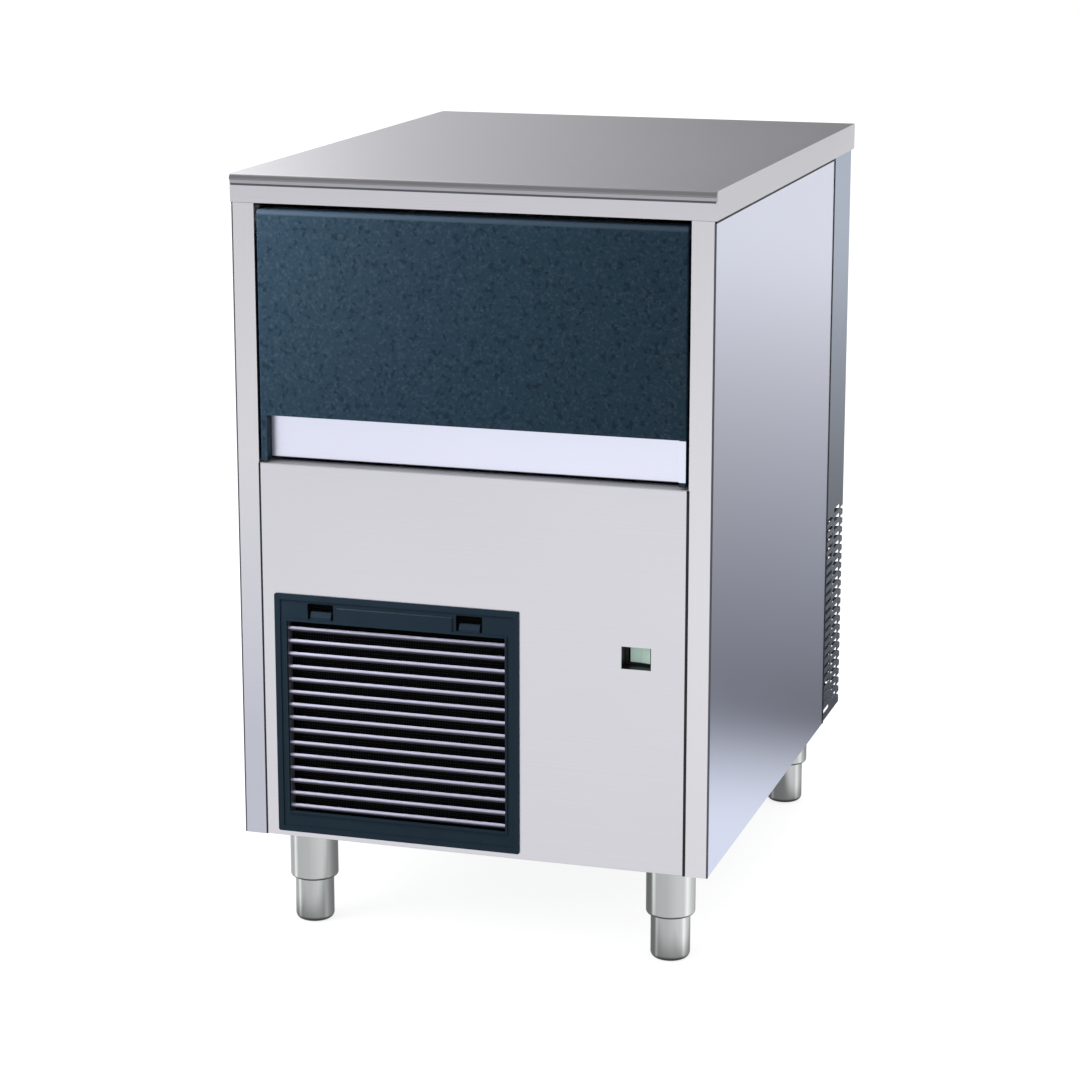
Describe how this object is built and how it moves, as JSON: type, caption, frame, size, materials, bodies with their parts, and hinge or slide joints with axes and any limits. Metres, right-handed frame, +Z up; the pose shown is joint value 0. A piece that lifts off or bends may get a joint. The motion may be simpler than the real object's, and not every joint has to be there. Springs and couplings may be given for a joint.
{
  "type": "ice machine",
  "caption": "Undercounter flake-ice machine with a built-in bin, an up-and-over door, a louvred air grille and adjustable feet.",
  "frame": {"origin": "centre of the footprint on the floor, between the four feet", "axes": "+Z up, front (door and grille) towards -Y, +X to the right seen from the front"},
  "size_m": [0.5, 0.66, 0.8],
  "materials": {
    "stainless_sheet": "satin brushed stainless",
    "rear_sheet": "satin sheet",
    "galvanised_sheet": "galvanised sheet",
    "polished_steel": "polished stainless tube",
    "handle_steel": "fine satin strip",
    "door_plastic": "leather-grained moulding",
    "liner_plastic": "moulded food-grade plastic",
    "foam": "rigid foam",
    "grille_plastic": "dark moulding",
    "louvre_plastic": "light satin blades",
    "filter_mesh": "dark mesh",
    "switch_black": "black moulding",
    "rocker_plastic": "translucent green-grey",
    "machined_steel": "turned stainless",
    "cast_aluminium": "cast",
    "fin_aluminium": "thin fin stock",
    "copper": "drawn copper tube",
    "black_paint": "satin black paint",
    "grey_paint": "satin grey paint",
    "rubber": "moulded rubber",
    "fan_plastic": "moulded fan",
    "shoe_plastic": "natural nylon",
    "hose_plastic": "translucent hose",
    "brass": "machined"
  },
  "bodies": {
    "cabinet": {"top_panel": "stainless_sheet", "upper_crossmember": "galvanised_sheet", "left_stile": "stainless_sheet", "right_stile": "stainless_sheet", "left_side_panel": "stainless_sheet", "right_side_panel": "stainless_sheet", "rear_casing": "rear_sheet", "connection_plate": "rear_sheet", "base_pan": "galvanised_sheet", "foot_sleeves": "polished_steel", "lower_front_panel": "stainless_sheet", "bin_shelf": "galvanised_sheet", "bin_liner": "liner_plastic", "bin_insulation": "foam", "left_door_rail": "galvanised_sheet", "right_door_rail": "galvanised_sheet", "switch_body": "switch_black", "control_box": "galvanised_sheet", "control_box_cover": "galvanised_sheet", "condenser_fins": "fin_aluminium", "condenser_coil": "copper", "fan_shroud": "galvanised_sheet", "fan_motor": "black_paint", "compressor": "black_paint", "compressor_mounts": "rubber", "gearmotor_bracket": "galvanised_sheet", "gearbox": "cast_aluminium", "gearmotor": "grey_paint", "evaporator_barrel": "machined_steel", "evaporator_insulation": "foam", "extruding_head": "machined_steel", "ice_spout": "liner_plastic", "ice_chute": "liner_plastic", "water_tank": "liner_plastic", "float_valve": "shoe_plastic", "feed_hose": "hose_plastic", "inlet_hose": "hose_plastic", "drain_hose": "hose_plastic", "filter_drier": "copper", "refrigerant_lines": "copper", "water_inlet_fitting": "brass", "drain_spigot": "shoe_plastic", "cable_gland": "shoe_plastic"},
    "door_carriage": {"door_slide_shoes": "shoe_plastic"},
    "door": {"door_panel": "door_plastic", "door_back_panel": "liner_plastic", "door_handle_strip": "handle_steel"},
    "grille": {"grille_frame": "grille_plastic", "grille_louvres": "louvre_plastic", "air_filter": "filter_mesh"},
    "rocker": {"power_rocker": "rocker_plastic"},
    "fan": {"fan_blades": "fan_plastic"},
    "auger": {"auger": "machined_steel", "ice_breaker": "machined_steel"},
    "float": {"float_arm": "shoe_plastic"},
    "front_left_leg": {"front_left_foot": "polished_steel"},
    "front_right_leg": {"front_right_foot": "polished_steel"},
    "rear_left_leg": {"rear_left_foot": "polished_steel"},
    "rear_right_leg": {"rear_right_foot": "polished_steel"}
  },
  "joints": [
    {"name": "door_slide", "type": "slide", "parent": "cabinet", "child": "door_carriage", "axis": [0, 1, 0], "range_m": [0, 0.25]},
    {"name": "door_tilt", "type": "hinge", "parent": "door_carriage", "child": "door", "pos_m": [0, -0.315, 0.754], "axis": [-1, 0, 0], "range_deg": [0, 90.2]},
    {"name": "grille_tilt", "type": "hinge", "parent": "cabinet", "child": "grille", "pos_m": [-0.0795, -0.328, 0.116], "axis": [1, 0, 0], "range_deg": [0, 40]},
    {"name": "rocker_tip", "type": "hinge", "parent": "cabinet", "child": "rocker", "pos_m": [0.1735, -0.306, 0.333], "axis": [0, 0, 1], "range_deg": [0, 16]},
    {"name": "fan_spin", "type": "hinge", "parent": "cabinet", "child": "fan", "pos_m": [-0.0795, -0.21, 0.24375], "axis": [0, 1, 0], "continuous": true},
    {"name": "auger_spin", "type": "hinge", "parent": "cabinet", "child": "auger", "pos_m": [0.105, 0.215, 0.45], "axis": [0, 0, 1], "continuous": true},
    {"name": "float_swing", "type": "hinge", "parent": "cabinet", "child": "float", "pos_m": [-0.128, 0.195, 0.634], "axis": [0, -1, 0], "range_deg": [0, 25]},
    {"name": "front_left_foot_screw", "type": "slide", "parent": "cabinet", "child": "front_left_leg", "axis": [0, 0, -1], "range_m": [0, 0.04]},
    {"name": "front_right_foot_screw", "type": "slide", "parent": "cabinet", "child": "front_right_leg", "axis": [0, 0, -1], "range_m": [0, 0.04]},
    {"name": "rear_left_foot_screw", "type": "slide", "parent": "cabinet", "child": "rear_left_leg", "axis": [0, 0, -1], "range_m": [0, 0.04]},
    {"name": "rear_right_foot_screw", "type": "slide", "parent": "cabinet", "child": "rear_right_leg", "axis": [0, 0, -1], "range_m": [0, 0.04]}
  ],
  "couplings": [
    {"joint": "door_tilt", "follows": "door_slide", "rad_per_m": 6.2832}
  ]
}
